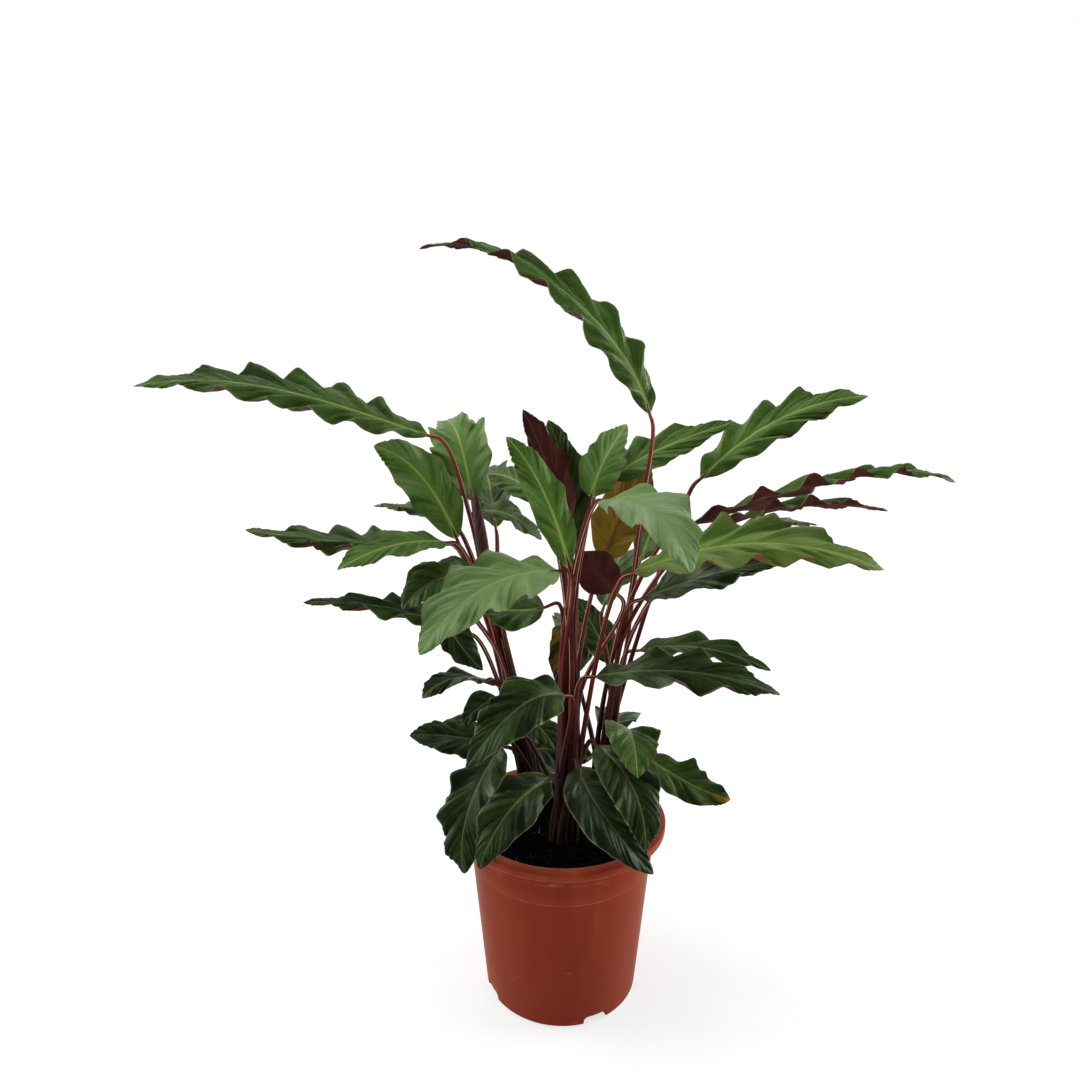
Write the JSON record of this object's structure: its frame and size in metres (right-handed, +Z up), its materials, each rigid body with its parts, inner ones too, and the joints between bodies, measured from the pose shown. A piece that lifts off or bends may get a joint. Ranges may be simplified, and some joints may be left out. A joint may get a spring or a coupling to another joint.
{
  "type": "potted velvet calathea",
  "caption": "Nursery pot of soil with three shoots of upright stalks and long lance-shaped velvety leaves with waved margins.",
  "frame": {"origin": "middle of the flat underside of the pot", "axes": "+Z up, +X to the right and -Y to the front, as the picture shows the plant"},
  "size_m": [0.5009, 0.3131, 0.4892],
  "materials": {
    "pot": "moulded terracotta-red polypropylene, satin, lightly scuffed",
    "soil": "near-black moist peat compost, matt and crumbly",
    "stalk": "red-brown to dark maroon leaf stalks with lighter streaks and short hairs",
    "leaf": "velvety green upper face with a paler midrib and slanting lateral veins, dark maroon underside",
    "spear": "rolled young leaf showing its dark maroon underside"
  },
  "bodies": {
    "root": {"pot": "pot", "soil": "soil", "left_stalks": "stalk", "left_leaf_01": "leaf", "left_leaf_02": "leaf", "left_leaf_03": "leaf", "left_leaf_04": "leaf", "left_leaf_05": "leaf", "left_leaf_06": "leaf", "left_leaf_07": "leaf", "left_leaf_08": "leaf", "left_leaf_09": "leaf", "left_leaf_10": "leaf", "left_leaf_11": "leaf", "left_leaf_12": "leaf", "left_leaf_13": "leaf", "left_leaf_14": "spear", "left_leaf_15": "leaf", "left_leaf_16": "leaf", "left_leaf_17": "leaf", "left_leaf_18": "leaf", "centre_stalks": "stalk", "centre_leaf_01": "leaf", "centre_leaf_02": "leaf", "centre_leaf_03": "leaf", "centre_leaf_04": "leaf", "centre_leaf_05": "leaf", "centre_leaf_06": "leaf", "centre_leaf_07": "leaf", "centre_leaf_08": "leaf", "centre_leaf_09": "leaf", "centre_leaf_10": "leaf", "centre_leaf_11": "leaf", "centre_leaf_12": "leaf", "centre_leaf_13": "leaf", "centre_leaf_14": "leaf", "centre_leaf_15": "leaf", "centre_leaf_16": "leaf", "centre_leaf_17": "leaf", "centre_leaf_18": "leaf", "centre_leaf_19": "leaf", "centre_leaf_20": "leaf", "centre_leaf_21": "leaf", "right_stalks": "stalk", "right_leaf_01": "leaf", "right_leaf_02": "leaf", "right_leaf_03": "leaf", "right_leaf_04": "leaf", "right_leaf_05": "leaf", "right_leaf_06": "leaf", "right_leaf_07": "leaf", "right_leaf_08": "leaf", "right_leaf_09": "leaf", "right_leaf_10": "leaf", "right_leaf_11": "leaf", "right_leaf_12": "leaf", "right_leaf_13": "leaf"}
  },
  "joints": []
}
